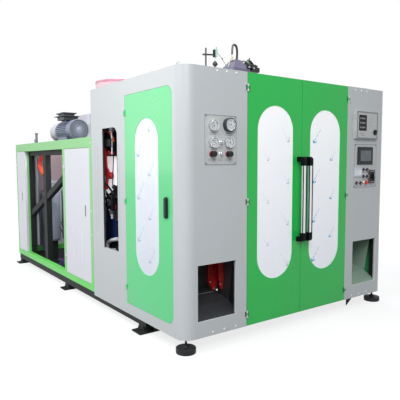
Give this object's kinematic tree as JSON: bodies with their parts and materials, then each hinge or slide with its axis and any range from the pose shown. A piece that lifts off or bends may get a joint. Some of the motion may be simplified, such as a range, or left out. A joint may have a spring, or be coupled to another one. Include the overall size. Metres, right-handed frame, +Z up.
{
  "type": "blow moulding machine",
  "caption": "Double-station blow moulding machine: enclosed clamps with a shuttle carriage behind green doors, extruder and drive on a green rear frame.",
  "frame": {"origin": "centre of the machine's plan on the floor", "axes": "+X right along the front, +Y to the rear, +Z up; the doors face -Y"},
  "size_m": [2.646, 4.505, 2.715],
  "materials": {
    "dark_steel": "satin",
    "black_steel": "satin",
    "grey_paint": "satin",
    "green_frame_paint": "satin",
    "green_paint": "gloss",
    "white_paint": "satin",
    "hinge_steel": "brushed",
    "plate_paint": "satin",
    "gauge_steel": "polished",
    "barrel_steel": "machined",
    "band_steel": "brushed",
    "machine_grey": "satin",
    "hopper_steel": "brushed",
    "motor_paint": "satin",
    "rail_steel": "polished",
    "chute_steel": "brushed",
    "red_paint": "satin",
    "navy_paint": "satin",
    "pipe_steel": "satin",
    "red_rubber": "matte",
    "filmed_window": "protective film",
    "handle_aluminium": "anodised",
    "black_plastic": "moulded",
    "platen_paint": "satin",
    "red_plastic": "moulded",
    "lid_plastic": "moulded"
  },
  "bodies": {
    "machine": {"base_frame": "dark_steel", "anchor_lugs": "dark_steel", "levelling_feet": "black_steel", "cabinet_frame": "dark_steel", "left_cabinet_panel": "grey_paint", "right_cabinet_panel": "grey_paint", "roof_panel": "grey_paint", "rear_frame": "green_frame_paint", "inner_frame": "dark_steel", "rear_panels": "white_paint", "hinge_leaves": "hinge_steel", "gauge_panel": "plate_paint", "pressure_gauges": "gauge_steel", "control_panel": "plate_paint", "touch_screen": "black_plastic", "electrical_box": "plate_paint", "extruder_barrel": "barrel_steel", "heater_bands": "band_steel", "gearbox": "machine_grey", "hopper": "hopper_steel", "main_motor": "motor_paint", "belt_guard": "machine_grey", "die_head": "barrel_steel", "parison_control": "machine_grey", "clamp_rails": "rail_steel", "product_chutes": "chute_steel", "link_arms": "red_paint", "hydraulic_unit": "navy_paint", "accumulators": "navy_paint", "water_pipes": "pipe_steel", "red_hoses": "red_rubber", "blow_cylinders": "machine_grey"},
    "front_door_left": {"front_door_left": "green_paint", "front_window_left": "filmed_window", "handle_left": "handle_aluminium"},
    "front_door_right": {"front_door_right": "green_paint", "front_window_right": "filmed_window", "handle_right": "handle_aluminium"},
    "side_door_left": {"side_door_left": "green_paint", "side_window_left": "filmed_window"},
    "side_door_right": {"side_door_right": "green_paint", "side_window_right": "filmed_window"},
    "side_lock_left": {"side_lock_left": "black_plastic"},
    "side_lock_right": {"side_lock_right": "black_plastic"},
    "service_door_front": {"service_door_front": "white_paint"},
    "service_door_rear": {"service_door_rear": "white_paint"},
    "box_door": {"box_door": "plate_paint"},
    "box_lock": {"box_lock": "black_plastic"},
    "shuttle_carriage": {"shuttle_carriage": "machine_grey"},
    "platen_front_left": {"platen_front_left": "platen_paint"},
    "platen_front_right": {"platen_front_right": "platen_paint"},
    "platen_rear_left": {"platen_rear_left": "platen_paint"},
    "platen_rear_right": {"platen_rear_right": "platen_paint"},
    "blow_pin_left": {"blow_pin_left": "rail_steel"},
    "blow_pin_right": {"blow_pin_right": "rail_steel"},
    "emergency_stop": {"emergency_stop": "red_plastic"},
    "breaker_handle": {"breaker_handle": "black_plastic"},
    "regulator_left": {"regulator_left": "black_plastic"},
    "regulator_right": {"regulator_right": "black_plastic"},
    "hopper_lid": {"hopper_lid": "lid_plastic"}
  },
  "joints": [
    {"name": "front_door_left_hinge", "type": "hinge", "parent": "machine", "child": "front_door_left", "pos_m": [-0.644, -2.175, 0.115], "axis": [0, 0, -1], "range_deg": [0, 110]},
    {"name": "front_door_right_hinge", "type": "hinge", "parent": "machine", "child": "front_door_right", "pos_m": [0.644, -2.175, 0.115], "axis": [0, 0, 1], "range_deg": [0, 95]},
    {"name": "side_door_left_hinge", "type": "hinge", "parent": "machine", "child": "side_door_left", "pos_m": [-1.2925, -1.2475, 0.115], "axis": [0, 0, -1], "range_deg": [0, 110]},
    {"name": "side_door_right_hinge", "type": "hinge", "parent": "machine", "child": "side_door_right", "pos_m": [1.2925, -1.2475, 0.115], "axis": [0, 0, 1], "range_deg": [0, 110]},
    {"name": "side_lock_left_turn", "type": "hinge", "parent": "side_door_left", "child": "side_lock_left", "pos_m": [-1.285, -1.9445, 1.19], "axis": [1, 0, 0], "range_deg": [0, 90]},
    {"name": "side_lock_right_turn", "type": "hinge", "parent": "side_door_right", "child": "side_lock_right", "pos_m": [1.285, -1.9445, 1.19], "axis": [1, 0, 0], "range_deg": [0, 90]},
    {"name": "service_door_front_hinge", "type": "hinge", "parent": "machine", "child": "service_door_front", "pos_m": [-1.2925, 0.2625, 0.115], "axis": [0, 0, -1], "range_deg": [0, 110]},
    {"name": "service_door_rear_hinge", "type": "hinge", "parent": "machine", "child": "service_door_rear", "pos_m": [-1.2925, 2.2025, 0.115], "axis": [0, 0, -1], "range_deg": [0, 110]},
    {"name": "box_door_hinge", "type": "hinge", "parent": "machine", "child": "box_door", "pos_m": [0.7377, -2.1955, 1.849], "axis": [0, 0, -1], "range_deg": [0, 90]},
    {"name": "box_lock_turn", "type": "hinge", "parent": "box_door", "child": "box_lock", "pos_m": [1.04, -2.1995, 1.783], "axis": [0, -1, 0], "range_deg": [-90, 0]},
    {"name": "carriage_shuttle", "type": "slide", "parent": "machine", "child": "shuttle_carriage", "axis": [1, 0, 0], "range_m": [0, 0.52]},
    {"name": "clamp_left_close", "type": "slide", "parent": "shuttle_carriage", "child": "platen_front_left", "axis": [0, 1, 0], "range_m": [0, 0.15]},
    {"name": "clamp_right_close", "type": "slide", "parent": "shuttle_carriage", "child": "platen_front_right", "axis": [0, 1, 0], "range_m": [0, 0.15]},
    {"name": "clamp_left_follow", "type": "slide", "parent": "shuttle_carriage", "child": "platen_rear_left", "axis": [0, 1, 0], "range_m": [-0.15, 0]},
    {"name": "clamp_right_follow", "type": "slide", "parent": "shuttle_carriage", "child": "platen_rear_right", "axis": [0, 1, 0], "range_m": [-0.15, 0]},
    {"name": "blow_pin_left_stroke", "type": "slide", "parent": "machine", "child": "blow_pin_left", "axis": [0, 0, -1], "range_m": [0, 0.15]},
    {"name": "blow_pin_right_stroke", "type": "slide", "parent": "machine", "child": "blow_pin_right", "axis": [0, 0, -1], "range_m": [0, 0.15]},
    {"name": "emergency_stop_push", "type": "slide", "parent": "machine", "child": "emergency_stop", "axis": [0, 1, 0], "range_m": [0, 0.006], "stiffness_N_per_m": 800},
    {"name": "breaker_handle_turn", "type": "hinge", "parent": "machine", "child": "breaker_handle", "pos_m": [1.035, -2.1855, 1.338], "axis": [0, -1, 0], "range_deg": [-90, 0]},
    {"name": "regulator_left_turn", "type": "hinge", "parent": "machine", "child": "regulator_left", "pos_m": [-1.015, -2.1715, 1.553], "axis": [0, -1, 0], "range_deg": [-360, 360]},
    {"name": "regulator_right_turn", "type": "hinge", "parent": "machine", "child": "regulator_right", "pos_m": [-0.855, -2.1715, 1.553], "axis": [0, -1, 0], "range_deg": [-360, 360]},
    {"name": "hopper_lid_hinge", "type": "hinge", "parent": "machine", "child": "hopper_lid", "pos_m": [0, 1.7748, 2.633], "axis": [-1, 0, 0], "range_deg": [0, 100]}
  ],
  "couplings": [
    {"joint": "clamp_left_follow", "follows": "clamp_left_close", "ratio": -1},
    {"joint": "clamp_right_follow", "follows": "clamp_right_close", "ratio": -1}
  ]
}
